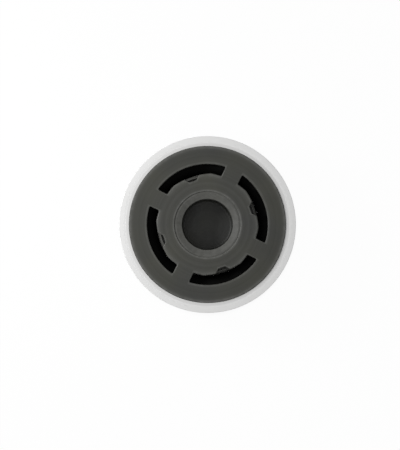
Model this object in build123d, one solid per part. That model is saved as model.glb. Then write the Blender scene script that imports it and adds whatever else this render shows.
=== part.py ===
"""Flow regulator insert for a tap or shower connection, in millimetres.

The axis is Z. The inlet end stands on Z = 0 and the outlet face, with its curved slots, looks up.
Water enters between the fins of the housing, passes the rubber ring along the lobed hub of the core
and leaves through the slots. A higher pressure pushes the ring into the hollows of the hub, which
narrows the way through.
"""

from build123d import *
import os

# Housing: a pale cup with a flange, from the outside in
flange_diameter = 18.7
flange_thickness = 2.1
flange_top_chamfer = 0.08
rim_width = 1.05
rim_ledge_width = 0.38
rim_ledge_drop = 0.04
rim_step_slope = 0.16
seat_width = 0.95
body_wall = 0.6
body_length = 4.05
body_lead_in = 0.3

# Inlet grille of the housing
fin_count = 12
fin_thickness = 0.7
grille_recess = 0.2
grille_thickness = 1.0
disc_reach = 0.3
disc_chamfer = 0.25

# Core: the plate with the slots
plate_thickness = 1.2
plate_proud = 0.1
plate_top_chamfer = 0.2
plate_foot_chamfer = 0.15
slot_count = 4
slot_width = 1.085
slot_corner = 0.14
spoke_width = 1.93
edge_break = 0.06

# Core: the snap bead, on the plate's edge right above its lower chamfer
bead_height = 0.1
bead_width = 0.36

# Core: the lobed hub with its notches and webs
lobe_height = 0.13
lobe_rounding = 0.5
hub_end_chamfer = 0.3
notch_depth = 0.61
notch_mouth_width = 1.9
notch_floor_width = 0.76
notch_corner = 0.14
notch_below_ring = 0.4
web_thickness = 0.24
web_height = 0.7

# Core: the blind recess and its stepped mouth
recess_radius = 2.7
recess_floor = 0.5
recess_floor_chamfer = 0.12
funnel_width = 0.78
funnel_depth = 0.25
step_width = 0.05
step_depth = 0.11

# Rubber ring, as it lies stretched over the lobes
ring_cord = 1.78

# Clearances between the pieces
plate_clearance = 0.03
bead_clearance = 0.03
ring_bore_clearance = 0.135
ring_hub_clearance = 0.015
ring_seat_gap = 0.02
ring_float = 0.3
fin_hub_clearance = 0.1
hub_end_clearance = 0.7

# Radii, each worked out from the one outside it
flange_radius = flange_diameter / 2
counterbore_radius = flange_radius - rim_width
plate_radius = counterbore_radius - plate_clearance
bore_radius = counterbore_radius - seat_width
body_radius = bore_radius + body_wall
ring_radius = bore_radius - ring_bore_clearance - ring_cord / 2
lobe_radius = ring_radius - ring_cord / 2 - ring_hub_clearance
waist_radius = lobe_radius - lobe_height
slot_radius = waist_radius + slot_width
notch_radius = lobe_radius - notch_depth
disc_radius = lobe_radius + disc_reach

# Levels above the inlet end
rim_level = body_length + flange_thickness
face_level = rim_level + plate_proud
seat_level = face_level - plate_thickness
bead_middle = seat_level + plate_foot_chamfer + bead_width / 2
ring_level = seat_level - ring_seat_gap - ring_cord / 2
ring_foot = ring_level - ring_cord / 2
fin_top = ring_foot - ring_float
grille_top = grille_recess + grille_thickness
hub_end = grille_top + hub_end_clearance
notch_foot = ring_foot - notch_below_ring
recess_foot = hub_end + recess_floor


def rounded(section, corners):
    """Round corners of a flat section, each given as x, y and radius."""
    for x, y, radius in corners:
        corner = section.vertices().sort_by_distance((x, y, 0))[0]
        section = fillet(corner, radius)
    return section


def turned(section):
    """Turn a section, drawn with the radius as x and the level as y, about the axis."""
    return revolve(Plane.XZ * section, Axis.Z)


def upright(section, low, high):
    """Raise a section, drawn in plan, from one level to another."""
    return extrude(Pos(0, 0, low) * section, high - low)


def polar_point(radius, angle):
    """A point of the plan at a radius and an angle in degrees."""
    return Vector(radius, 0).rotate(Axis.Z, angle)


def housing_shell():
    """The turned form of the housing: body, flange, seat, snap groove and stepped rim."""
    ledge_radius = counterbore_radius + rim_ledge_width
    ledge_level = rim_level - rim_ledge_drop
    groove_radius = plate_radius + bead_height + bead_clearance
    groove_half = bead_width / 2 + bead_clearance
    section = make_face(
        Polyline(
            (bore_radius, 0),
            (body_radius - body_lead_in, 0),
            (body_radius, body_lead_in),
            (body_radius, body_length),
            (flange_radius, body_length),
            (flange_radius, rim_level - flange_top_chamfer),
            (flange_radius - flange_top_chamfer, rim_level),
            (ledge_radius + rim_step_slope, rim_level),
            (ledge_radius, ledge_level),
            (counterbore_radius, ledge_level),
            (counterbore_radius, bead_middle + groove_half),
            (groove_radius, bead_middle),
            (counterbore_radius, bead_middle - groove_half),
            (counterbore_radius, seat_level),
            (bore_radius, seat_level),
            close=True,
        )
    )
    return turned(section)


def inlet_fin():
    """One fin: a bar under the hub and a stop that keeps the rubber ring in its channel."""
    fin_root = bore_radius + body_wall / 2
    fin_inner = lobe_radius + fin_hub_clearance
    bar_inner = disc_radius / 2
    section = make_face(
        Polyline(
            (bar_inner, grille_recess),
            (fin_root, grille_recess),
            (fin_root, fin_top),
            (fin_inner, fin_top),
            (fin_inner, grille_top),
            (bar_inner, grille_top),
            close=True,
        )
    )
    return extrude(Plane.XZ * section, fin_thickness / 2, both=True)


def inlet_disc():
    """The disc in the middle of the inlet that carries the fins."""
    section = make_face(
        Polyline(
            (0, grille_recess),
            (disc_radius - disc_chamfer, grille_recess),
            (disc_radius, grille_recess + disc_chamfer),
            (disc_radius, grille_top),
            (0, grille_top),
            close=True,
        )
    )
    return turned(section)


def make_housing():
    """The pale housing in one piece."""
    fins = PolarLocations(0, fin_count) * inlet_fin()
    return housing_shell() + inlet_disc() + fins


def hub_outline():
    """The plan of the hub: shallow arcs that meet at rounded lobes, two for each slot."""
    lobe_count = 2 * slot_count
    step = 360 / lobe_count
    arcs = Curve()
    for i in range(lobe_count):
        start = (i - 0.5) * step
        arcs += ThreePointArc(
            polar_point(lobe_radius, start),
            polar_point(waist_radius, start + step / 2),
            polar_point(lobe_radius, start + step),
        )
    outline = make_face(arcs)
    return fillet(outline.vertices(), lobe_rounding)


def notch_outline():
    """The plan of one notch on the X axis: a trapezoid that opens towards the slot."""
    section = make_face(
        Polyline(
            (notch_radius, notch_floor_width / 2),
            (notch_radius, -notch_floor_width / 2),
            (lobe_radius, -notch_mouth_width / 2),
            (lobe_radius, notch_mouth_width / 2),
            close=True,
        )
    )
    corners = [
        (notch_radius, notch_floor_width / 2, notch_corner),
        (notch_radius, -notch_floor_width / 2, notch_corner),
    ]
    return rounded(section, corners)


def notched_outline():
    """The plan of the hub with its notches, their mouths rounded into the lobed outline."""
    section = hub_outline() - PolarLocations(0, slot_count) * notch_outline()
    corners = []
    for i in range(slot_count):
        for side in (-1, 1):
            mouth = Vector(waist_radius, side * notch_mouth_width / 2).rotate(Axis.Z, i * 360 / slot_count)
            corners.append((mouth.X, mouth.Y, notch_corner))
    return rounded(section, corners)


def make_hub():
    """The part of the hub below the plate, with the notches running down past the rubber ring."""
    hub = upright(hub_outline(), hub_end, notch_foot)
    hub = chamfer(hub.edges().group_by(Axis.Z)[0], hub_end_chamfer)
    return hub + upright(notched_outline(), notch_foot, seat_level)


def make_webs():
    """The thin webs that close the notches towards the slots, level with the plate's underside."""
    band = Circle(waist_radius) - Circle(waist_radius - web_thickness)
    web = upright(band & notch_outline(), seat_level, seat_level + web_height)
    return PolarLocations(0, slot_count) * web


def plate_disc():
    """The turned form of the plate, with chamfered edges and the snap bead."""
    section = make_face(
        Polyline(
            (0, seat_level),
            (plate_radius - plate_foot_chamfer, seat_level),
            (plate_radius, bead_middle - bead_width / 2),
            (plate_radius + bead_height, bead_middle),
            (plate_radius, bead_middle + bead_width / 2),
            (plate_radius, face_level - plate_top_chamfer),
            (plate_radius - plate_top_chamfer, face_level),
            (0, face_level),
            close=True,
        )
    )
    return turned(section)


def slot_outline():
    """The plan of the slot on the X axis, between the hub, the plate and two straight spokes."""
    half_pitch = 180 / slot_count
    spokes = PolarLocations(0, slot_count, half_pitch) * Rectangle(
        slot_radius * 2, spoke_width, align=(Align.MIN, Align.CENTER)
    )
    slots = Circle(slot_radius) - spokes - notched_outline()
    slot = slots.faces().sort_by(Axis.X)[-1]
    corners = []
    for radius in (waist_radius, slot_radius):
        for angle in (-half_pitch, half_pitch):
            corner = polar_point(radius, angle)
            corners.append((corner.X, corner.Y, slot_corner))
    return rounded(slot, corners)


def recess_space():
    """The blind recess with its funnel and step, as a solid to cut away."""
    funnel_radius = recess_radius + funnel_width
    step_level = face_level - step_depth
    mouth_level = step_level - funnel_depth
    section = make_face(
        Polyline(
            (0, recess_foot),
            (recess_radius - recess_floor_chamfer, recess_foot),
            (recess_radius, recess_foot + recess_floor_chamfer),
            (recess_radius, mouth_level),
            (funnel_radius, step_level),
            (funnel_radius + step_width, face_level),
            (0, face_level),
            close=True,
        )
    )
    return turned(section)


def make_core():
    """The dark core in one piece."""
    slots = PolarLocations(0, slot_count) * upright(slot_outline(), seat_level, face_level)
    core = plate_disc() - slots
    core += make_hub()
    core += make_webs()
    slot_rims = core.faces().sort_by(Axis.Z)[-1].inner_wires()
    core = chamfer([edge for rim in slot_rims for edge in rim.edges()], edge_break)
    return core - recess_space()


def make_ring():
    """The round rubber ring in the channel between the hub and the bore."""
    return Pos(0, 0, ring_level) * Torus(ring_radius, ring_cord / 2)


def main():
    """Build each piece and write it to its own file."""
    pieces = {
        "housing": make_housing(),
        "regulator_core": make_core(),
        "control_ring": make_ring(),
    }
    os.makedirs("parts", exist_ok=True)
    for name, piece in pieces.items():
        export_step(piece, f"parts/{name}.step")


main()
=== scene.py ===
"""Flow regulator insert: its finished pieces, their finishes and the studio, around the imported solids.

Pieces are shaped in millimetres and brought to metres when they are finished. The axis of the
regulator is Z, the outlet face looks up, and X runs through the middle of one slot.
"""

import logging
import math
from collections.abc import Mapping, Sequence
from dataclasses import dataclass
from enum import Enum
from typing import Any

import bmesh
import bpy
from bpy.types import Material, Mesh, Node, NodeSocket, NodeTree, Object
from mathutils import Matrix, Vector


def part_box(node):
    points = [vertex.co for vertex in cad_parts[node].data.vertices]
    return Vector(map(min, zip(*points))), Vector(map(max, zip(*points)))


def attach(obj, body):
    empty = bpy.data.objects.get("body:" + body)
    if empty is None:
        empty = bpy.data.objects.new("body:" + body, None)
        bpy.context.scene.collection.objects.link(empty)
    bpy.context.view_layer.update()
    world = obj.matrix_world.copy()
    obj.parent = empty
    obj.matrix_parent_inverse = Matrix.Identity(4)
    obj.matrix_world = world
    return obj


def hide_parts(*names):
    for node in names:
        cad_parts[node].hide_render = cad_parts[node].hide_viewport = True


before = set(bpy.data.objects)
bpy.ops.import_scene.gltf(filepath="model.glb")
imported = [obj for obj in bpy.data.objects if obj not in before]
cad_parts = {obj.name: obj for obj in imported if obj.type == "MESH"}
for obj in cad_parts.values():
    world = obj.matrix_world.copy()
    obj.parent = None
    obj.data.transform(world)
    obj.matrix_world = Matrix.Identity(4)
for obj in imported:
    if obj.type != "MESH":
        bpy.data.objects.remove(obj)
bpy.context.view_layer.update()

LOG = logging.getLogger("flow_regulator")
MM = 0.001
ROOT_BODY = "root"
# The point attribute that carries painted light: painted highlights on the core's rims and painted shade on
# the housing's ledge
RIM_ATTRIBUTE = "rim_tint"

# How finely round shapes are divided and where shading breaks, with angles in degrees
TURN_SEGMENTS = 192
LONG_ARC_STEP = 2.0
BEND_STEP = 15.0
RIM_STEPS = 5
SHARP_ANGLE = 38.0

# How far shapes reach into each other or stay apart, in millimetres
OVERLAP = 0.3
SINK = 0.1
SKIN_GAP = 0.005
POINT_GAP = 0.02
MERGE_GAP = 0.0005

# The middle of a noise, and the refraction of the plastics
NOISE_LOW = 0.3
NOISE_HIGH = 0.7
PLASTIC_IOR = 1.48

# The kinds of socket for the values that a tree of nodes takes
SOCKET_KINDS = {
    Mesh: "NodeSocketObject",
    Material: "NodeSocketMaterial",
    int: "NodeSocketInt",
    float: "NodeSocketFloat",
}

UP = Vector((0, 0, 1))
WHITE = (1.0, 1.0, 1.0, 1.0)

Loop = list[Vector]
Colour = tuple[float, float, float]


class Solid(Enum):
    """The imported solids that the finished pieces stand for."""

    HOUSING = "housing"
    CORE = "regulator_core"
    RING = "control_ring"


class FinishSlot(Enum):
    """The material slots of the record."""

    HOUSING = "pale_housing"
    CORE = "dark_core"
    RING = "black_rubber"


class Joining(Enum):
    """The ways in which one solid is combined with others."""

    UNION = "UNION"
    CUT = "DIFFERENCE"


@dataclass(frozen=True)
class Extent:
    """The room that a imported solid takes, in millimetres."""

    radius: float
    low: float
    high: float

    @classmethod
    def of(cls, solid: Solid) -> "Extent":
        """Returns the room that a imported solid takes."""
        low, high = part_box(solid.value)
        return cls(radius=high[0] / MM, low=low[2] / MM, high=high[2] / MM)


@dataclass(frozen=True)
class Corner:
    """A corner of a turned section: where it is and how far it is rounded."""

    radius: float
    level: float
    rounding: float = 0.0


@dataclass(frozen=True)
class PaintedLightBand:
    """A band about the axis in which the points of a mesh carry painted light, a painted highlight or painted
    shade, in millimetres.
    """

    inner: float
    outer: float
    low: float
    high: float
    share: float

    def holds(self, place: Vector) -> bool:
        """Tells whether a place lies in the band."""
        return self.inner < place.xy.length < self.outer and self.low < place.z < self.high


# Lines and loops in the plan


def polar(radius: float, angle: float) -> Vector:
    """Returns the point of the plan at a radius and an angle in degrees."""
    turn = math.radians(angle)
    return Vector((radius * math.cos(turn), radius * math.sin(turn)))


def arc(centre: Vector, radius: float, start: float, end: float, step: float) -> Loop:
    """Returns the points of an arc from one angle to another, both ends included, a step apart at most."""
    count = max(2, math.ceil(abs(end - start) / step))
    return [centre + polar(radius, start + (end - start) * i / count) for i in range(count + 1)]


def shifted(line: Loop, distance: float, closed: bool) -> Loop:
    """Moves a line sideways.

    Args:
        line: The points of the line.
        distance: How far each point moves to the left of the line.
        closed: Whether the last point is followed by the first.

    Returns:
        The moved points.
    """
    last = len(line) - 1
    moved = []
    for i, point in enumerate(line):
        before = line[i - 1] if closed or i > 0 else point
        after = line[(i + 1) % len(line)] if closed or i < last else point
        along = (after - before).normalized()
        moved.append(point + Vector((-along.y, along.x)) * distance)
    return moved


def rounded_join(first: Loop, second: Loop, rounding: float) -> tuple[Loop, Loop, Loop]:
    """Joins two lines that cross by an arc that touches both.

    Args:
        first: The line that comes in, at least as long as needed.
        second: The line that goes out, at least as long as needed.
        rounding: The radius of the arc, positive for a bend to the left.

    Returns:
        The first line up to the arc, the points inside the arc, and the second line from the arc on.

    Raises:
        ValueError: If the rounding doesn't fit between the lines.
    """
    inner_first = shifted(first, rounding, closed=False)
    inner_second = shifted(second, rounding, closed=False)
    for i in reversed(range(len(first) - 1)):
        run_in = inner_first[i + 1] - inner_first[i]
        for j in range(len(second) - 1):
            run_out = inner_second[j + 1] - inner_second[j]
            slant = run_in.cross(run_out)
            if slant == 0:
                continue
            gap = inner_second[j] - inner_first[i]
            share_in = gap.cross(run_out) / slant
            share_out = gap.cross(run_in) / slant
            if 0 <= share_in <= 1 and 0 <= share_out <= 1:
                centre = inner_first[i].lerp(inner_first[i + 1], share_in)
                start = first[i].lerp(first[i + 1], share_in)
                end = second[j].lerp(second[j + 1], share_out)
                bend = bend_points(centre, start, end, rounding)
                return first[: i + 1] + [start], bend, [end] + second[j + 1 :]
    raise ValueError("a rounding doesn't fit between its lines")


def bend_points(centre: Vector, start: Vector, end: Vector, rounding: float) -> Loop:
    """Draws the inside of a rounding.

    Args:
        centre: The middle of the rounding.
        start: Where it begins.
        end: Where it ends.
        rounding: Its radius, positive for a bend to the left.

    Returns:
        The points between its two ends.
    """
    first = math.degrees(math.atan2(start.y - centre.y, start.x - centre.x))
    last = math.degrees(math.atan2(end.y - centre.y, end.x - centre.x))
    sweep = (last - first) % 360
    if rounding < 0:
        sweep -= 360
    return arc(centre, abs(rounding), first, first + sweep, BEND_STEP)[1:-1]


def rounded_loop(sides: Sequence[Loop], roundings: Sequence[float]) -> Loop:
    """Joins sides into one closed loop with rounded corners.

    Args:
        sides: The sides in order, each at least as long as needed.
        roundings: The rounding after each side, positive for a bend to the left.

    Returns:
        The points of the loop, without those that nearly coincide.
    """
    trimmed = [list(side) for side in sides]
    bends = []
    for i, rounding in enumerate(roundings):
        j = (i + 1) % len(trimmed)
        trimmed[i], bend, trimmed[j] = rounded_join(trimmed[i], trimmed[j], rounding)
        bends.append(bend)
    loop: Loop = []
    for point in (point for side, bend in zip(trimmed, bends) for point in side + bend):
        if not loop or min((point - loop[-1]).length, (point - loop[0]).length) > POINT_GAP:
            loop.append(point)
    return loop


def section_points(corners: Sequence[Corner]) -> Loop:
    """Draws a turned section with its corners rounded.

    Args:
        corners: The corners in order. The first and last of an open section aren't rounded.

    Returns:
        The points of the section, with the radius as x and the level as y.
    """
    places = [Vector((corner.radius, corner.level)) for corner in corners]
    points = []
    for i, corner in enumerate(corners):
        before, here, after = places[i - 1], places[i], places[(i + 1) % len(places)]
        if corner.rounding == 0:
            points.append(here)
            continue
        turn = (here - before).cross(after - here)
        rounding = math.copysign(corner.rounding, turn)
        run_in, bend, run_out = rounded_join([before, here], [here, after], rounding)
        points += [run_in[-1], *bend, run_out[0]]
    return points


# Meshes


def skinned_mesh(name: str, rings: Sequence[Loop], joined: bool) -> Mesh:
    """Lays a skin over rings of points.

    Args:
        name: The name of the mesh.
        rings: Rings with the same number of points each.
        joined: Whether the last ring meets the first. Otherwise both get a flat cap.

    Returns:
        A closed mesh with its faces outward.
    """
    count = len(rings[0])
    faces: list[tuple[int, ...]] = []
    for i in range(len(rings) if joined else len(rings) - 1):
        low = i * count
        high = (i + 1) % len(rings) * count
        for k in range(count):
            after = (k + 1) % count
            faces.append((low + k, low + after, high + after, high + k))
    if not joined:
        faces.append(tuple(range(count)))
        faces.append(tuple(range(len(rings) * count - count, len(rings) * count)))
    mesh = bpy.data.meshes.new(name)
    mesh.from_pydata([point for ring in rings for point in ring], [], faces)
    face_outward(mesh)
    return mesh


def face_outward(mesh: Mesh, merge: float = 0.0) -> None:
    """Turns the faces of a closed mesh outward.

    Args:
        mesh: The mesh to change.
        merge: The distance up to which points are first merged, or 0 to merge none.
    """
    shell = bmesh.new()
    shell.from_mesh(mesh)
    if merge:
        bmesh.ops.remove_doubles(shell, verts=shell.verts, dist=merge)
    bmesh.ops.recalc_face_normals(shell, faces=shell.faces)
    shell.to_mesh(mesh)
    shell.free()


def keep_flats_flat(mesh: Mesh) -> None:
    """Sets normals that follow the larger faces, so that only the roundings beside flat faces bend.

    Args:
        mesh: The mesh to change, in metres, with its sharp edges marked.
    """
    corners, edges = mesh.loops, mesh.edges
    leader = list(range(len(corners)))

    def leader_of(corner: int) -> int:
        """Looks up the corner that stands for all those that share a normal.

        Args:
            corner: One of those corners.

        Returns:
            The corner that stands for them.
        """
        while leader[corner] != corner:
            corner = leader[corner]
        return corner

    pulls = [Vector() for _ in corners]
    meetings: dict[tuple[int, int], int] = {}
    for face in mesh.polygons:
        loops = list(face.loop_indices)
        for place, corner in enumerate(loops):
            pulls[corner] = face.normal * (face.area / MM**2) ** 2
            for edge in (corners[corner].edge_index, corners[loops[place - 1]].edge_index):
                if not edges[edge].use_edge_sharp:
                    other = meetings.setdefault((edge, corners[corner].vertex_index), corner)
                    leader[leader_of(corner)] = leader_of(other)
    normals = [Vector() for _ in corners]
    for corner, pull in enumerate(pulls):
        normals[leader_of(corner)] += pull
    mesh.normals_split_custom_set([normals[leader_of(i)].normalized() for i in range(len(corners))])


def turned_mesh(name: str, corners: Sequence[Corner], joined: bool = False) -> Mesh:
    """Turns a section about the axis.

    Args:
        name: The name of the mesh.
        corners: The corners of the section.
        joined: Whether the section is closed in itself. Otherwise its two ends get flat caps.

    Returns:
        The turned mesh.
    """
    turns = [i * math.tau / TURN_SEGMENTS for i in range(TURN_SEGMENTS)]
    rings = [
        [Vector((point.x * math.cos(turn), point.x * math.sin(turn), point.y)) for turn in turns]
        for point in section_points(corners)
    ]
    return skinned_mesh(name, rings, joined)


def stacked_mesh(name: str, layers: Sequence[tuple[Loop, float]]) -> Mesh:
    """Returns the solid between loops of the plan, each given with its level."""
    rings = [[Vector((point.x, point.y, level)) for point in loop] for loop, level in layers]
    return skinned_mesh(name, rings, joined=False)


# Nodes


def placed(name: str, data: Any) -> Object:
    """Brings a new object into the scene.

    Args:
        name: The name of the object.
        data: The mesh, lamp or camera that it holds.

    Returns:
        The object.
    """
    thing = bpy.data.objects.new(name, data)
    bpy.context.scene.collection.objects.link(thing)
    return thing


class NodeSheet:
    """A node tree in the making."""

    def __init__(self, tree: NodeTree) -> None:
        """Takes up the tree that the nodes go into."""
        self.tree = tree

    def add(self, kind: str, links: Mapping[str | int, Any], **settings: Any) -> Node:
        """Adds a node.

        Args:
            kind: The kind of node.
            links: What each input takes, by its name or place.
            settings: Properties of the node itself.

        Returns:
            The node.
        """
        node = self.tree.nodes.new(kind)
        for label, value in settings.items():
            setattr(node, label, value)
        for label, value in links.items():
            self.feed(node, label, value)
        return node

    def feed(self, node: Node, label: str | int, value: Any) -> None:
        """Links sockets, or sets a plain value, on an input of a node.

        Args:
            node: The node that takes the value.
            label: The name or place of its input.
            value: A socket, a list of sockets or a plain value.
        """
        for entry in value if isinstance(value, list) else [value]:
            if isinstance(entry, NodeSocket):
                self.tree.links.new(entry, node.inputs[label])
            else:
                node.inputs[label].default_value = entry

    def made(self, kind: str, links: Mapping[str | int, Any], **settings: Any) -> NodeSocket:
        """Adds a node and returns its first output."""
        return self.add(kind, links, **settings).outputs[0]

    def math(self, operation: str, *values: Any) -> NodeSocket:
        """Returns the result of a sum of one or more sockets or numbers."""
        return self.made("ShaderNodeMath", dict(enumerate(values)), operation=operation)


class ShapeTree(NodeSheet):
    """A Geometry Nodes tree in the making, with named inputs and one geometry output."""

    def __init__(self, name: str, base: Mesh, **values: Any) -> None:
        """Starts a tree.

        Args:
            name: The name of the tree.
            base: The mesh that goes in as the geometry Base.
            values: A value for each other input, by name. A mesh stands for an object with it.
        """
        super().__init__(bpy.data.node_groups.new(name, "GeometryNodeTree"))
        self.base = base
        self.values = values
        face = self.tree.interface
        face.new_socket("Result", in_out="OUTPUT", socket_type="NodeSocketGeometry")
        face.new_socket("Base", in_out="INPUT", socket_type="NodeSocketGeometry")
        for label, value in values.items():
            kind = next(kind for sort, kind in SOCKET_KINDS.items() if isinstance(value, sort))
            face.new_socket(label, in_out="INPUT", socket_type=kind)
        self.source = self.add("NodeGroupInput", {})

    def given(self, label: str) -> NodeSocket:
        """Returns the socket of a named input."""
        return self.source.outputs[label]

    def shape_of(self, label: str) -> NodeSocket:
        """Returns the geometry of the object that a named input holds."""
        return self.add("GeometryNodeObjectInfo", {"Object": self.given(label)}).outputs["Geometry"]

    def around(self, shape: NodeSocket, count: NodeSocket) -> NodeSocket:
        """Repeats a shape evenly about the axis.

        Args:
            shape: The geometry to repeat.
            count: How many there are.

        Returns:
            All of them as plain geometry.
        """
        points = self.made("GeometryNodePoints", {0: count})
        pitch = self.math("DIVIDE", math.tau, count)
        turn = self.math("MULTIPLY", self.made("GeometryNodeInputIndex", {}), pitch)
        angles = self.made("ShaderNodeCombineXYZ", {2: turn})
        rotation = self.made("FunctionNodeEulerToRotation", {0: angles})
        copies = self.made("GeometryNodeInstanceOnPoints", {0: points, 2: shape, 5: rotation})
        return self.made("GeometryNodeRealizeInstances", {0: copies})

    def joined(self, joining: Joining, base: NodeSocket, others: list[NodeSocket]) -> NodeSocket:
        """Combines solids.

        Args:
            joining: How they are combined.
            base: The solid that is cut, or one of those that are united.
            others: The cutters, or the other solids.

        Returns:
            The combined solid.
        """
        links: dict[str | int, Any] = {0: base, 1: others}
        if joining is Joining.UNION:
            links = {1: [base, *others]}
        return self.made("GeometryNodeMeshBoolean", links, operation=joining.value, solver="EXACT")

    def grown(self, result: NodeSocket) -> Mesh:
        """Ends the tree in plain geometry with the material of the input Finish, and runs it.

        Args:
            result: The finished geometry.

        Returns:
            The result as a plain mesh.
        """
        plain = self.made("GeometryNodeRealizeInstances", {0: result})
        dressed = self.made("GeometryNodeSetMaterial", {0: plain, 2: self.given("Finish")})
        self.add("NodeGroupOutput", {0: dressed})
        helpers: list[Object] = []
        blank = bpy.data.objects.new(self.base.name, self.base)
        modifier = blank.modifiers.new(self.tree.name, "NODES")
        modifier.node_group = self.tree
        for item in self.tree.interface.items_tree:
            value = self.values.get(item.name)
            if isinstance(value, Mesh):
                value = placed(value.name, value)
                helpers.append(value)
            if value is not None:
                modifier[item.identifier] = value
        bpy.context.scene.collection.objects.link(blank)
        graph = bpy.context.evaluated_depsgraph_get()
        mesh = bpy.data.meshes.new_from_object(blank.evaluated_get(graph), depsgraph=graph)
        blank.modifiers.remove(modifier)
        for helper in [blank, *helpers]:
            bpy.data.meshes.remove(helper.data)
        return mesh


# Finishes


class Shading(NodeSheet):
    """The nodes of one material in the making."""

    def __init__(self, name: str) -> None:
        """Starts a material.

        Args:
            name: The name of the material.
        """
        self.material = bpy.data.materials.new(name)
        self.material.use_nodes = True
        super().__init__(self.material.node_tree)
        self.tree.nodes.clear()
        self.shader = self.add("ShaderNodeBsdfPrincipled", {})
        self.add("ShaderNodeOutputMaterial", {"Surface": self.shader.outputs[0]})

    def place(self) -> NodeSocket:
        """Returns the place on the piece, in metres."""
        return self.add("ShaderNodeTexCoord", {}).outputs["Object"]

    def rim_tint(self) -> NodeSocket:
        """Returns how far the surface takes on the painted light of a rim: painted highlight on the core,
        painted shade on the housing.
        """
        return self.add("ShaderNodeAttribute", {}, attribute_name=RIM_ATTRIBUTE).outputs["Fac"]

    def clouds(self, size: float, detail: float, shift: float = 0.0) -> NodeSocket:
        """Spreads soft noise through the piece.

        Args:
            size: The size of the patches in millimetres.
            detail: How many finer layers the noise has.
            shift: A number that makes this noise differ from others.

        Returns:
            A value around one half.
        """
        return self.made(
            "ShaderNodeTexNoise",
            {"Vector": self.place(), "W": shift, "Scale": 1 / (size * MM), "Detail": detail},
            noise_dimensions="4D",
        )

    def spread(self, value: NodeSocket, low: float, high: float) -> NodeSocket:
        """Stretches the middle of a noise to a range.

        Args:
            value: A value around one half.
            low: What the low end of the noise becomes.
            high: What the high end of the noise becomes.

        Returns:
            The value in its new range.
        """
        return self.made(
            "ShaderNodeMapRange",
            {"Value": value, "From Min": NOISE_LOW, "From Max": NOISE_HIGH, "To Min": low, "To Max": high},
        )

    def blend(self, share: NodeSocket, first: Any, second: Any) -> NodeSocket:
        """Mixes two colours.

        Args:
            share: How much of the second colour there is.
            first: A colour or a socket.
            second: A colour or a socket.

        Returns:
            The mixed colour.
        """
        # The sockets of a Mix node for colours come after those for numbers and directions
        node = self.add("ShaderNodeMix", {0: share}, data_type="RGBA")
        for label, colour in ((6, first), (7, second)):
            self.feed(node, label, colour if isinstance(colour, NodeSocket) else (*colour, 1.0))
        return node.outputs[2]

    def turning_marks(self, pitch: float, detail: float) -> NodeSocket:
        """Draws uneven rings about the axis.

        Args:
            pitch: The distance between the rings in millimetres.
            detail: How many finer layers the rings have.

        Returns:
            A value around one half.
        """
        axes = self.add("ShaderNodeSeparateXYZ", {0: self.place()})
        squares = [self.math("MULTIPLY", axes.outputs[i], axes.outputs[i]) for i in range(2)]
        radius = self.math("SQRT", self.math("ADD", *squares))
        return self.made(
            "ShaderNodeTexNoise",
            {"W": radius, "Scale": 1 / (pitch * MM), "Detail": detail},
            noise_dimensions="1D",
        )

    def relief(self, height: NodeSocket, depth: float, below: NodeSocket | None = None) -> NodeSocket:
        """Turns a pattern into relief.

        Args:
            height: The pattern.
            depth: The depth of the relief in millimetres.
            below: A coarser relief that this one lies on.

        Returns:
            The normal of the surface.
        """
        links: dict[str | int, Any] = {"Height": height, "Distance": depth * MM}
        if below is not None:
            links["Normal"] = below
        return self.made("ShaderNodeBump", links)

    def surface(self, **values: Any) -> Material:
        """Sets the shader's inputs.

        Args:
            values: A socket or value for each input, by its name with underscores for spaces.

        Returns:
            The finished material.
        """
        for label, value in values.items():
            self.feed(self.shader, label.replace("_", " "), value)
        return self.material


@dataclass(frozen=True)
class SatinPlastic:
    """The dark grey moulded plastic of the core, cloudy, with faint turning marks, and with a painted
    highlight on its rims and edges.
    """

    warm: Colour = (0.052, 0.0525, 0.0421)
    cool: Colour = (0.0354, 0.0364, 0.038)
    # Paler colour of the turning-mark streaks, and of the painted highlight on the rims
    pale_streak_and_highlight: Colour = (0.15, 0.15, 0.142)
    roughness: tuple[float, float] = (0.44, 0.56)
    specular: float = 0.28
    patch: float = 4.5
    cool_share: float = 0.7
    mark_pitch: float = 0.32
    mark_depth: float = 0.004
    mark_share: float = 0.08
    edge_patch: float = 0.5
    edge_share: tuple[float, float] = (0.45, 0.9)
    gloss_patch: float = 1.6
    grain: float = 0.12
    grain_depth: float = 0.003

    def make(self) -> Material:
        """Mixes the colours, the gloss and the relief.

        Returns:
            The material.
        """
        shading = Shading(FinishSlot.CORE.value)
        patches = shading.clouds(self.patch, detail=2.0)
        tint = shading.blend(shading.spread(patches, 0.0, self.cool_share), self.warm, self.cool)
        marks = shading.turning_marks(self.mark_pitch, detail=3.0)
        streaks = shading.blend(shading.spread(marks, 0.0, self.mark_share), tint, self.pale_streak_and_highlight)
        # Painted highlight: the rims and web tops take on the paler colour, in patches
        edges = shading.spread(shading.clouds(self.edge_patch, detail=2.0, shift=3.0), *self.edge_share)
        highlight_share = shading.math("MULTIPLY", shading.rim_tint(), edges)
        colour = shading.blend(highlight_share, streaks, self.pale_streak_and_highlight)
        gloss = shading.clouds(self.gloss_patch, detail=3.0, shift=7.0)
        rings = shading.relief(marks, self.mark_depth)
        fine = shading.relief(shading.clouds(self.grain, detail=2.0), self.grain_depth, rings)
        return shading.surface(
            Base_Color=colour,
            Roughness=shading.spread(gloss, *self.roughness),
            Specular_IOR_Level=self.specular,
            IOR=PLASTIC_IOR,
            Normal=fine,
        )


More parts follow.
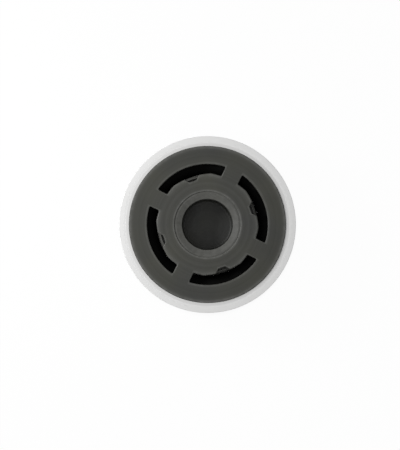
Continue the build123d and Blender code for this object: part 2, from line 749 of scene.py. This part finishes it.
@dataclass(frozen=True)
class MilkyPlastic:
    """The pale, milky plastic of the housing, with painted shade on its ledge beside the core."""

    pale: Colour = (0.79, 0.79, 0.788)
    cream: Colour = (0.765, 0.763, 0.752)
    # Painted shade: the darker colour of the ledge beside the core
    shaded: Colour = (0.68, 0.678, 0.672)
    roughness: tuple[float, float] = (0.34, 0.46)
    patch: float = 3.5
    cream_share: float = 0.6
    gloss_patch: float = 1.2
    mark_pitch: float = 0.25
    mark_depth: float = 0.003
    grain: float = 0.15
    grain_depth: float = 0.002

    def make(self) -> Material:
        """Mixes the colours, the gloss and the relief.

        Returns:
            The material.
        """
        shading = Shading(FinishSlot.HOUSING.value)
        patches = shading.clouds(self.patch, detail=2.0)
        tint = shading.blend(shading.spread(patches, 0.0, self.cream_share), self.pale, self.cream)
        # Painted shade on the ledge beside the core
        colour = shading.blend(shading.rim_tint(), tint, self.shaded)
        gloss = shading.clouds(self.gloss_patch, detail=3.0, shift=5.0)
        rings = shading.relief(shading.turning_marks(self.mark_pitch, detail=2.0), self.mark_depth)
        fine = shading.relief(shading.clouds(self.grain, detail=2.0), self.grain_depth, rings)
        return shading.surface(
            Base_Color=colour,
            Roughness=shading.spread(gloss, *self.roughness),
            IOR=PLASTIC_IOR,
            Normal=fine,
        )


@dataclass(frozen=True)
class SoftRubber:
    """The black rubber of the ring, dull, with a fine grain."""

    black: Colour = (0.002, 0.002, 0.002)
    bloom: Colour = (0.0035, 0.0035, 0.0032)
    roughness: tuple[float, float] = (0.6, 0.75)
    specular: float = 0.05
    patch: float = 1.5
    gloss_patch: float = 0.8
    grain: float = 0.1
    grain_depth: float = 0.004

    def make(self) -> Material:
        """Mixes the colours, the gloss and the relief.

        Returns:
            The material.
        """
        shading = Shading(FinishSlot.RING.value)
        patches = shading.clouds(self.patch, detail=3.0)
        colour = shading.blend(shading.spread(patches, 0.0, 1.0), self.black, self.bloom)
        gloss = shading.clouds(self.gloss_patch, detail=2.0, shift=2.0)
        return shading.surface(
            Base_Color=colour,
            Roughness=shading.spread(gloss, *self.roughness),
            Specular_IOR_Level=self.specular,
            Normal=shading.relief(shading.clouds(self.grain, detail=3.0), self.grain_depth),
        )


# Pieces


def finished_piece(name: str, mesh: Mesh, solid: Solid) -> Object:
    """Brings a shaped mesh into the scene as a piece of the regulator.

    Args:
        name: The name of the piece.
        mesh: Its mesh in millimetres, with its material.
        solid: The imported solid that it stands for.

    Returns:
        The piece, in metres, riding on the regulator.
    """
    face_outward(mesh, merge=MERGE_GAP)
    mesh.transform(Matrix.Scale(MM, 4))
    mesh.name = name
    mesh.shade_smooth()
    mesh.set_sharp_from_angle(angle=math.radians(SHARP_ANGLE))
    keep_flats_flat(mesh)
    piece = placed(name, mesh)
    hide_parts(solid.value)
    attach(piece, ROOT_BODY)
    LOG.info("%s: %d faces", name, len(mesh.polygons))
    return piece


def paint_light_points(mesh: Mesh, bands: Sequence[PaintedLightBand]) -> None:
    """Writes how far each point of a mesh takes on the painted light of the bands that it lies in.

    Args:
        mesh: The finished mesh, in metres.
        bands: The bands. Where two overlap, the stronger one counts.
    """
    tints = mesh.attributes.new(RIM_ATTRIBUTE, "FLOAT", "POINT")
    for point in mesh.vertices:
        shares = [band.share for band in bands if band.holds(point.co / MM)]
        tints.data[point.index].value = max(shares, default=0.0)


@dataclass
class Housing:
    """The pale housing: flange, body, seat for the core and finned inlet, in millimetres."""

    room: Extent
    rim_width: float = 1.05
    rim_ledge_width: float = 0.38
    rim_ledge_drop: float = 0.012
    rim_step_slope: float = 0.2
    rim_step_rounding: float = 0.3
    ledge_fade: float = 0.13
    counterbore_rounding: float = 0.03
    flange_thickness: float = 2.1
    flange_top_rounding: float = 0.05
    flange_foot_rounding: float = 0.1
    seat_width: float = 0.95
    seat_depth: float = 1.1
    body_wall: float = 0.6
    body_lead_in: float = 0.3
    groove_depth: float = 0.1
    groove_half: float = 0.21
    groove_level: float = 0.33
    fin_count: int = 12
    fin_thickness: float = 0.7
    fin_rounding: float = 0.08
    fin_inner: float = 5.52
    fin_top: float = 2.95
    grille_recess: float = 0.2
    grille_top: float = 1.2
    disc_radius: float = 5.72
    disc_rounding: float = 0.3

    @property
    def counterbore(self) -> float:
        """The radius that holds the plate of the core."""
        return self.room.radius - self.rim_width

    @property
    def bore(self) -> float:
        """The radius of the channel for the rubber ring."""
        return self.counterbore - self.seat_width

    def shell(self) -> Mesh:
        """Turns the body with its flange, seat, snap groove and stepped rim.

        Returns:
            The mesh of the shell.
        """
        flange, bore, body = self.room.radius, self.bore, self.bore + self.body_wall
        rim = self.room.high
        foot = rim - self.flange_thickness
        ledge = self.counterbore + self.rim_ledge_width
        ledge_level = rim - self.rim_ledge_drop
        seat_level = rim - self.seat_depth
        groove_level = seat_level + self.groove_level
        corners = [
            Corner(bore, 0),
            Corner(body - self.body_lead_in, 0),
            Corner(body, self.body_lead_in),
            Corner(body, foot),
            Corner(flange, foot, self.flange_foot_rounding),
            Corner(flange, rim, self.flange_top_rounding),
            Corner(ledge + self.rim_step_slope, rim, self.rim_step_rounding),
            Corner(ledge, ledge_level, self.rim_step_rounding),
            Corner(ledge - self.ledge_fade, ledge_level),
            Corner(self.counterbore, ledge_level, self.counterbore_rounding),
            Corner(self.counterbore, groove_level + self.groove_half),
            Corner(self.counterbore + self.groove_depth, groove_level),
            Corner(self.counterbore, groove_level - self.groove_half),
            Corner(self.counterbore, seat_level),
            Corner(bore, seat_level),
        ]
        return turned_mesh("housing_shell", corners, joined=True)

    def disc(self) -> Mesh:
        """Turns the disc in the middle of the inlet.

        Returns:
            The mesh of the disc.
        """
        corners = [
            Corner(self.disc_radius / 2, self.grille_recess),
            Corner(self.disc_radius, self.grille_recess, self.disc_rounding),
            Corner(self.disc_radius, self.grille_top),
            Corner(self.disc_radius / 2, self.grille_top),
        ]
        return turned_mesh("inlet_disc", corners)

    def fin(self) -> Mesh:
        """Shapes one fin: a bar to the disc and a stop below the rubber ring.

        Returns:
            The mesh of the fin, with its edges rounded.
        """
        root = self.bore + self.body_wall / 2
        inner = self.disc_radius / 2
        outline = [
            (inner, self.grille_recess),
            (root, self.grille_recess),
            (root, self.fin_top),
            (self.fin_inner, self.fin_top),
            (self.fin_inner, self.grille_top),
            (inner, self.grille_top),
        ]
        sides = [
            [Vector((x, side * self.fin_thickness / 2, level)) for x, level in outline]
            for side in (-1, 1)
        ]
        mesh = skinned_mesh("inlet_fin", sides, joined=False)
        shape = bmesh.new()
        shape.from_mesh(mesh)
        bmesh.ops.bevel(
            shape, geom=shape.edges, offset=self.fin_rounding, segments=2, profile=0.5, affect="EDGES"
        )
        shape.to_mesh(mesh)
        shape.free()
        return mesh

    def build(self, finish: MilkyPlastic) -> Object:
        """Shapes the housing in one piece and dresses it.

        Args:
            finish: The finish of the housing.

        Returns:
            The finished piece.
        """
        tree = ShapeTree(
            "finned_housing",
            self.shell(),
            Disc=self.disc(),
            Fin=self.fin(),
            Count=self.fin_count,
            Finish=finish.make(),
        )
        fins = tree.around(tree.shape_of("Fin"), tree.given("Count"))
        mesh = tree.grown(tree.joined(Joining.UNION, tree.given("Base"), [tree.shape_of("Disc"), fins]))
        piece = finished_piece("pale_housing", mesh, Solid.HOUSING)
        # Painted shade on the ledge beside the core, darkening its colour
        shaded = self.counterbore + self.rim_ledge_width - self.ledge_fade + SKIN_GAP
        ledge = PaintedLightBand(self.bore, shaded, self.room.high - SINK, self.room.high, 1.0)
        paint_light_points(piece.data, [ledge])
        return piece


@dataclass
class RegulatorCore:
    """The dark core: slotted plate, lobed hub with notches and webs, and recess, in millimetres."""

    room: Extent
    plate_thickness: float = 1.2
    plate_top_rounding: float = 0.06
    plate_foot_chamfer: float = 0.15
    bead_height: float = 0.1
    bead_width: float = 0.36
    slot_count: int = 4
    slot_radius: float = 6.4
    slot_corner: float = 0.14
    spoke_width: float = 1.93
    rim_rounding: float = 0.09
    hub_rim_rounding: float = 0.13
    hub_rim_reach: float = 0.2
    hub_rim_end: float = 1.5
    arc_share: float = 0.55
    lobe_radius: float = 5.42
    waist_radius: float = 5.29
    lobe_rounding: float = 0.5
    hub_end_chamfer: float = 0.3
    notch_radius: float = 4.81
    notch_mouth_width: float = 1.9
    notch_floor_width: float = 0.76
    notch_corner: float = 0.14
    notch_foot: float = 2.85
    web_thickness: float = 0.24
    web_height: float = 0.7
    web_slope: float = 0.26
    web_edge: float = 0.04
    pocket_depth: float = 1.0
    recess_radius: float = 2.7
    recess_foot: float = 2.4
    recess_floor_rounding: float = 0.3
    mouth_rounding: float = 0.06
    funnel_width: float = 0.6
    funnel_depth: float = 0.2
    funnel_rounding: float = 0.05
    ledge_width: float = 0.18
    step_width: float = 0.05
    step_depth: float = 0.11
    step_rounding: float = 0.1
    fade_radii: tuple[float, ...] = (3.75, 4.55, 4.95, 6.72, 7.9)
    # How far each rim takes on the painted highlight, a paler colour that stands in for light on it
    hub_face_highlight: float = 0.07
    hub_rim_highlight: float = 0.6
    slot_rim_highlight: float = 0.48
    plate_rim_highlight: float = 0.82
    web_top_highlight: float = 0.6
    step_highlight: float = 0.95
    ledge_highlight: float = 0.35
    mouth_highlight: float = 0.65

    @property
    def face(self) -> float:
        """The level of the outlet face."""
        return self.room.high

    @property
    def underside(self) -> float:
        """The level of the underside of the plate."""
        return self.face - self.plate_thickness

    @property
    def half_pitch(self) -> float:
        """Half of the angle from slot to slot, in degrees."""
        return 180 / self.slot_count

    def plate(self) -> Mesh:
        """Turns the plate with its rounded top edge and snap bead.

        Returns:
            The mesh of the plate, without slots.
        """
        edge = self.room.radius - self.bead_height
        bead_foot = self.underside + self.plate_foot_chamfer
        inner = self.recess_radius
        corners = [
            Corner(inner, self.underside),
            Corner(edge - self.plate_foot_chamfer, self.underside),
            Corner(edge, bead_foot),
            Corner(self.room.radius, bead_foot + self.bead_width / 2),
            Corner(edge, bead_foot + self.bead_width),
            Corner(edge, self.face, self.plate_top_rounding),
            *(Corner(radius, self.face) for radius in reversed(self.fade_radii)),
            Corner(inner, self.face),
        ]
        return turned_mesh("core_plate", corners)

    def hub_arc(self, middle: float, start: float, end: float) -> Loop:
        """Draws a stretch of the hub's side, a shallow arc from lobe to lobe.

        Args:
            middle: The angle of the middle of the arc, in degrees.
            start: Where the stretch starts, as an angle from that middle.
            end: Where the stretch ends, as an angle from that middle.

        Returns:
            The points of the stretch. The angles are those about the axis, seen at the waist.
        """
        half = math.radians(self.half_pitch / 2)
        reach = self.lobe_radius * math.sin(half)
        rise = self.waist_radius - self.lobe_radius * math.cos(half)
        radius = (reach * reach + rise * rise) / (2 * rise)
        scale = self.waist_radius / radius
        centre = polar(self.waist_radius - radius, middle)
        return arc(centre, radius, middle + start * scale, middle + end * scale, LONG_ARC_STEP)

    def notch_flank(self, side: int) -> Loop:
        """Draws one flank of the notch on the X axis, made longer at both ends.

        Args:
            side: Which flank it is, 1 for the one at positive Y and -1 for the other.

        Returns:
            Its two ends, first the one past the mouth and then the one past the floor.
        """
        floor = Vector((self.notch_radius, side * self.notch_floor_width / 2))
        mouth = Vector((self.lobe_radius, side * self.notch_mouth_width / 2))
        return [mouth + (mouth - floor), floor + (floor - mouth)]

    def notch_floor(self) -> Loop:
        """Draws the floor of the notch on the X axis, downwards and made longer."""
        reach = self.notch_mouth_width
        return [Vector((self.notch_radius, reach)), Vector((self.notch_radius, -reach))]

    def slot_loop(self) -> Loop:
        """Draws the slot on the X axis, with the notch of the hub.

        Returns:
            The loop, anticlockwise.
        """
        pitch = self.half_pitch
        along = polar(1.0, pitch)
        aside = polar(1.0, pitch - 90) * (self.spoke_width / 2)
        spoke = [aside + along * (self.slot_radius * 2), aside]
        mirrored_spoke = [Vector((point.x, -point.y)) for point in reversed(spoke)]
        reach = pitch * self.arc_share
        sides = [
            arc(Vector((0, 0)), self.slot_radius, -pitch, pitch, LONG_ARC_STEP),
            spoke,
            self.hub_arc(pitch, reach, -reach),
            self.hub_arc(0, reach, 0),
            self.notch_flank(1),
            self.notch_floor(),
            self.notch_flank(-1)[::-1],
            self.hub_arc(0, 0, -reach),
            self.hub_arc(-pitch, reach, -reach),
            mirrored_spoke,
        ]
        slot, lobe, notch = self.slot_corner, self.lobe_rounding, self.notch_corner
        return rounded_loop(sides, [slot, slot, -lobe, -notch, notch, notch, -notch, -lobe, slot, slot])

    def slot_space(self) -> Mesh:
        """Shapes what one slot takes out of the plate, with its rim rounded at the face.

        Returns:
            The mesh of the space.
        """
        loop = self.slot_loop()
        outward = [moved - point for point, moved in zip(loop, shifted(loop, -1.0, closed=True))]
        roundings = [self.rounding_at(point.length) for point in loop]
        rings = [[point.to_3d() + Vector((0, 0, self.underside - SKIN_GAP)) for point in loop]]
        for i in range(RIM_STEPS + 1):
            turn = math.radians(90 * i / RIM_STEPS)
            flare, drop = 1 - math.cos(turn), 1 - math.sin(turn)
            rings.append(
                [
                    (point + away * rounding * flare).to_3d() + Vector((0, 0, self.face - rounding * drop))
                    for point, away, rounding in zip(loop, outward, roundings)
                ]
            )
        rings[-1] = [point + Vector((0, 0, SKIN_GAP)) for point in rings[-1]]
        rings.append([point + Vector((0, 0, OVERLAP)) for point in rings[-1]])
        return skinned_mesh("slot_space", rings, joined=False)

    def rounding_at(self, radius: float) -> float:
        """Works out how far the rim of a slot is rounded, which is more along the hub.

        Args:
            radius: The distance of the rim from the axis.

        Returns:
            The rounding there.
        """
        middle = (self.lobe_radius + self.waist_radius) / 2
        share = min(1.0, max(0.0, self.hub_rim_end - abs(radius - middle) / self.hub_rim_reach))
        return self.rim_rounding + (self.hub_rim_rounding - self.rim_rounding) * share

    def hub_loop(self) -> Loop:
        """Draws the hub with its lobes and notches.

        Returns:
            The loop, anticlockwise.
        """
        pitch = self.half_pitch
        reach = pitch * self.arc_share
        lobe, notch = self.lobe_rounding, self.notch_corner
        sides: list[Loop] = []
        roundings: list[float] = []
        for i in range(self.slot_count):
            turn = Matrix.Rotation(math.radians(2 * pitch * i), 2)
            stretch = [
                self.hub_arc(0, -reach, 0),
                self.notch_flank(-1),
                self.notch_floor()[::-1],
                self.notch_flank(1)[::-1],
                self.hub_arc(0, 0, reach),
                self.hub_arc(pitch, -reach, reach),
            ]
            roundings += [notch, -notch, -notch, notch, lobe, lobe]
            sides += [[turn @ point for point in side] for side in stretch]
        return rounded_loop(sides, roundings)

    def hub_neck(self) -> Mesh:
        """Shapes the notched part of the hub, up into the plate.

        Returns:
            The mesh of the neck.
        """
        loop = shifted(self.hub_loop(), SKIN_GAP, closed=True)
        return stacked_mesh(
            "hub_neck", [(loop, self.notch_foot - SKIN_GAP), (loop, self.underside + OVERLAP)]
        )

    def hub_foot(self) -> Mesh:
        """Turns the lower end of the hub, which closes the notches and the hollows below.

        Returns:
            The mesh of the foot.
        """
        foot, low = self.lobe_radius - SKIN_GAP, self.room.low
        corners = [
            Corner(self.recess_radius / 2, low),
            Corner(foot - self.hub_end_chamfer, low),
            Corner(foot, low + self.hub_end_chamfer),
            Corner(foot, self.notch_foot),
            Corner(self.recess_radius / 2, self.notch_foot),
        ]
        return turned_mesh("hub_foot", corners)

    def web(self) -> Mesh:
        """Shapes the thin web across one notch, level with the underside of the plate.

        Returns:
            The mesh of the web, with its top sloping towards the slot.
        """
        half = math.degrees(math.atan2(self.notch_mouth_width / 2, self.waist_radius))
        inner = self.waist_radius - self.web_thickness
        middle = Vector((0, 0))
        back = arc(middle, inner, half, -half, LONG_ARC_STEP)
        loop = arc(middle, self.waist_radius, -half, half, LONG_ARC_STEP) + back
        ridge = arc(middle, inner + self.web_edge, -half, half, LONG_ARC_STEP) + back
        top = self.underside + self.web_height
        layers = [(loop, self.underside), (loop, top - self.web_slope), (ridge, top)]
        return stacked_mesh("notch_web", layers)

    def pocket_floor(self) -> Mesh:
        """Shapes the floor of the pocket behind one web.

        Returns:
            The mesh of the floor, sunk into the hub and the web.
        """
        inner, outer = self.notch_radius - OVERLAP, self.waist_radius - self.web_thickness / 2
        half = self.notch_mouth_width / 2 + SINK
        loop = [Vector((inner, -half)), Vector((outer, -half)), Vector((outer, half)), Vector((inner, half))]
        return stacked_mesh(
            "pocket_floor", [(loop, self.underside + SINK), (loop, self.face - self.pocket_depth)]
        )

    def recess(self) -> Mesh:
        """Turns what the blind recess takes out, with its funnel and the step at the face.

        Returns:
            The mesh of the space.
        """
        funnel = self.recess_radius + self.funnel_width
        ledge = funnel + self.ledge_width
        step_level = self.face - self.step_depth
        mouth = step_level - self.funnel_depth
        lip = ledge + self.step_width
        corners = [
            Corner(self.recess_radius / 2, self.recess_foot),
            Corner(self.recess_radius, self.recess_foot, self.recess_floor_rounding),
            Corner(self.recess_radius, mouth, self.mouth_rounding),
            Corner(funnel, step_level, self.funnel_rounding),
            Corner(ledge, step_level),
            Corner(lip, self.face + SKIN_GAP, self.step_rounding),
            Corner(lip + 2 * self.step_rounding, self.face + SKIN_GAP),
            Corner(lip + 2 * self.step_rounding, self.face + OVERLAP),
        ]
        return turned_mesh("recess_space", corners)

    def paint_rim_highlights(self, mesh: Mesh) -> None:
        """Paints highlights as a paler colour on the rims of the plate, the slots and the recess and on the
        tops of the webs.

        Args:
            mesh: The finished mesh, in metres.
        """
        step, notch, hub, slot, edge = self.fade_radii
        top = self.face + SKIN_GAP
        rim = self.face - 2 * self.hub_rim_rounding
        ledge = self.recess_radius + self.funnel_width + self.ledge_width
        mouth = self.recess_radius - SKIN_GAP
        step_level = self.face - self.step_depth
        web_top = self.underside + self.web_height
        middle = (self.lobe_radius + self.slot_radius) / 2
        # Painted highlights on the rims, the web tops and the recess's step and mouth
        bands = [
            PaintedLightBand(step - SKIN_GAP, hub + SKIN_GAP, rim, top, self.hub_face_highlight),
            PaintedLightBand(notch + SKIN_GAP, hub - SKIN_GAP, rim, top, self.hub_rim_highlight),
            PaintedLightBand(hub + SKIN_GAP, middle, rim, top, self.hub_rim_highlight),
            PaintedLightBand(middle, slot - SKIN_GAP, rim, top, self.slot_rim_highlight),
            PaintedLightBand(edge + SKIN_GAP, self.room.radius, rim, top, self.plate_rim_highlight),
            PaintedLightBand(self.notch_radius, middle, web_top - self.web_slope - SKIN_GAP, rim, self.web_top_highlight),
            PaintedLightBand(ledge + SKIN_GAP, step - SKIN_GAP, step_level, top, self.step_highlight),
            PaintedLightBand(ledge - SKIN_GAP, ledge + SKIN_GAP, rim, step_level + SKIN_GAP, self.ledge_highlight),
            PaintedLightBand(mouth, ledge - SKIN_GAP, rim - SINK, step_level + SKIN_GAP, self.mouth_highlight),
        ]
        paint_light_points(mesh, bands)

    def build(self, finish: SatinPlastic) -> Object:
        """Shapes the core in one piece and dresses it.

        Args:
            finish: The finish of the core.

        Returns:
            The finished piece.
        """
        tree = ShapeTree(
            "slotted_core",
            self.plate(),
            Slot=self.slot_space(),
            Neck=self.hub_neck(),
            Foot=self.hub_foot(),
            Web=self.web(),
            Floor=self.pocket_floor(),
            Recess=self.recess(),
            Count=self.slot_count,
            Finish=finish.make(),
        )
        count = tree.given("Count")
        slots, webs, floors = (tree.around(tree.shape_of(label), count) for label in ("Slot", "Web", "Floor"))
        plate = tree.joined(Joining.CUT, tree.given("Base"), [slots])
        hub = [tree.shape_of("Neck"), tree.shape_of("Foot"), webs, floors]
        body = tree.joined(Joining.UNION, plate, hub)
        mesh = tree.grown(tree.joined(Joining.CUT, body, [tree.shape_of("Recess")]))
        piece = finished_piece("dark_core", mesh, Solid.CORE)
        self.paint_rim_highlights(piece.data)
        return piece


@dataclass
class ControlRing:
    """The round rubber ring in the channel between the hub and the bore, in millimetres."""

    room: Extent
    turns: int = 240
    cord_turns: int = 40

    def build(self, finish: SoftRubber) -> Object:
        """Sweeps the cord round the axis and dresses it.

        Args:
            finish: The finish of the ring.

        Returns:
            The finished piece.
        """
        cord = (self.room.high - self.room.low) / 2
        level = (self.room.high + self.room.low) / 2
        tree = ShapeTree(
            "swept_ring",
            bpy.data.meshes.new("ring_blank"),
            Radius=self.room.radius - cord,
            Cord=cord,
            Level=level,
            Turns=self.turns,
            CordTurns=self.cord_turns,
            Finish=finish.make(),
        )
        circle = "GeometryNodeCurvePrimitiveCircle"
        path = tree.made(circle, {0: tree.given("Turns"), 4: tree.given("Radius")})
        profile = tree.made(circle, {0: tree.given("CordTurns"), 4: tree.given("Cord")})
        tube = tree.made("GeometryNodeCurveToMesh", {0: path, 1: profile})
        lift = tree.made("ShaderNodeCombineXYZ", {2: tree.given("Level")})
        mesh = tree.grown(tree.made("GeometryNodeTransform", {0: tube, "Translation": lift}))
        return finished_piece("rubber_ring", mesh, Solid.RING)


# Studio


@dataclass
class Studio:
    """The floor, the lights and the camera, with angles anticlockwise from the photograph's right."""

    face_level: float
    image_turn: float = 18.5
    lens: float = 180.0
    sensor: float = 36.0
    image_height: float = 450.0
    pixel: float = 0.1057
    shift_right: float = 7.45
    shift_up: float = 0.6
    tilt: float = 1.5
    tilt_towards: float = -95.0
    key_angle: float = 166.0
    key_reach: float = 50.0
    key_height: float = 35.0
    key_size: float = 19.5
    key_power: float = 0.026
    side_fill: float = 0.325
    top_fill: float = 1.4
    top_tilt: float = 9.0
    top_focus: float = 12.0
    floor_size: float = 2.0
    floor_colour: Colour = (0.86, 0.86, 0.86)
    floor_glow: float = 0.97
    shadow_reach: float = 2.0

    def direction(self, angle: float) -> Vector:
        """Returns the direction on the floor that the photograph shows at an angle."""
        flat = polar(1.0, angle - self.image_turn)
        return Vector((flat.x, flat.y, 0.0))

    def place_camera(self) -> None:
        """Sets the camera over the outlet face, turned and tilted as in the photograph."""
        camera = bpy.data.cameras.new("photo_camera")
        camera.lens = self.lens
        camera.sensor_width = self.sensor
        camera.clip_start = MM
        holder = placed("photo_camera", camera)
        distance = self.lens / self.sensor * self.image_height * self.pixel
        right, up = self.direction(0.0), self.direction(90.0)
        aim = self.face_level * UP - self.pixel * (self.shift_right * right + self.shift_up * up)
        lean = math.radians(self.tilt)
        back = math.sin(lean) * self.direction(self.tilt_towards) + math.cos(lean) * UP
        side = up.cross(back).normalized()
        top = back.cross(side)
        turn = Matrix((side, top, back)).transposed().to_4x4()
        holder.matrix_world = Matrix.Translation((aim + back * distance) * MM) @ turn
        bpy.context.scene.camera = holder

    def hang_lamp(self) -> None:
        """Hangs the soft key lamp to the left of the photograph."""
        lamp = bpy.data.lights.new("key_lamp", "AREA")
        lamp.shape = "DISK"
        lamp.size = self.key_size * MM
        lamp.energy = self.key_power
        holder = placed("key_lamp", lamp)
        holder.visible_camera = False
        aim = self.face_level * UP
        place = self.direction(self.key_angle) * self.key_reach + self.key_height * UP + aim
        turn = (place - aim).to_track_quat("Z", "Y").to_matrix().to_4x4()
        holder.matrix_world = Matrix.Translation(place * MM) @ turn

    def light_room(self) -> None:
        """Fills the room with soft light, most of it from above."""
        world = bpy.data.worlds.new("studio")
        world.use_nodes = True
        sheet = NodeSheet(world.node_tree)
        way = sheet.add("ShaderNodeTexCoord", {}).outputs["Generated"]
        lean = math.radians(self.top_tilt)
        axis = math.sin(lean) * self.direction(180.0) + math.cos(lean) * UP
        near = sheet.add("ShaderNodeVectorMath", {0: way, 1: axis}, operation="DOT_PRODUCT")
        above = sheet.math("MAXIMUM", near.outputs["Value"], 0.0)
        focus = sheet.math("POWER", above, self.top_focus)
        fill = {"Value": focus, "To Min": self.side_fill, "To Max": self.top_fill}
        sky = sheet.tree.nodes["Background"]
        sheet.feed(sky, "Color", WHITE)
        sheet.feed(sky, "Strength", sheet.made("ShaderNodeMapRange", fill))
        bpy.context.scene.world = world

    def lay_floor(self) -> None:
        """Lays the pale floor, white to the camera but for the regulator's soft shadow."""
        half = self.floor_size / 2
        mesh = bpy.data.meshes.new("studio_floor")
        corners = [(-half, -half, 0), (half, -half, 0), (half, half, 0), (-half, half, 0)]
        mesh.from_pydata(corners, [], [(0, 1, 2, 3)])
        floor = placed("studio_floor", mesh)
        material = bpy.data.materials.new("studio_floor")
        material.use_nodes = True
        sheet = NodeSheet(material.node_tree)
        sheet.tree.nodes.clear()
        ray = sheet.add("ShaderNodeLightPath", {}).outputs
        seen = ray["Is Camera Ray"]
        for kind in ("Is Glossy Ray", "Is Transmission Ray"):
            seen = sheet.math("MAXIMUM", seen, ray[kind])
        open_sky = sheet.add("ShaderNodeAmbientOcclusion", {"Distance": self.shadow_reach * MM}).outputs["AO"]
        share = sheet.math("MULTIPLY", sheet.math("MULTIPLY", seen, self.floor_glow), open_sky)
        matt = sheet.made("ShaderNodeBsdfDiffuse", {"Color": (*self.floor_colour, 1.0)})
        white = sheet.made("ShaderNodeEmission", {})
        mix = sheet.made("ShaderNodeMixShader", {0: share, 1: matt, 2: white})
        sheet.add("ShaderNodeOutputMaterial", {"Surface": mix})
        mesh.materials.append(material)

    def build(self) -> None:
        """Sets up the whole studio."""
        self.place_camera()
        self.hang_lamp()
        self.light_room()
        self.lay_floor()
        bpy.context.scene.view_settings.view_transform = "Standard"
        LOG.info("studio: camera, lamp and floor in place")


def main() -> None:
    """Builds the pieces and the studio in order."""
    logging.basicConfig(level=logging.INFO, format="%(name)s %(message)s")
    LOG.info("frame: %d solids", len(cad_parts))
    core_room = Extent.of(Solid.CORE)
    Housing(Extent.of(Solid.HOUSING)).build(MilkyPlastic())
    RegulatorCore(core_room).build(SatinPlastic())
    ControlRing(Extent.of(Solid.RING)).build(SoftRubber())
    Studio(core_room.high).build()


if __name__ == "__main__":
    main()
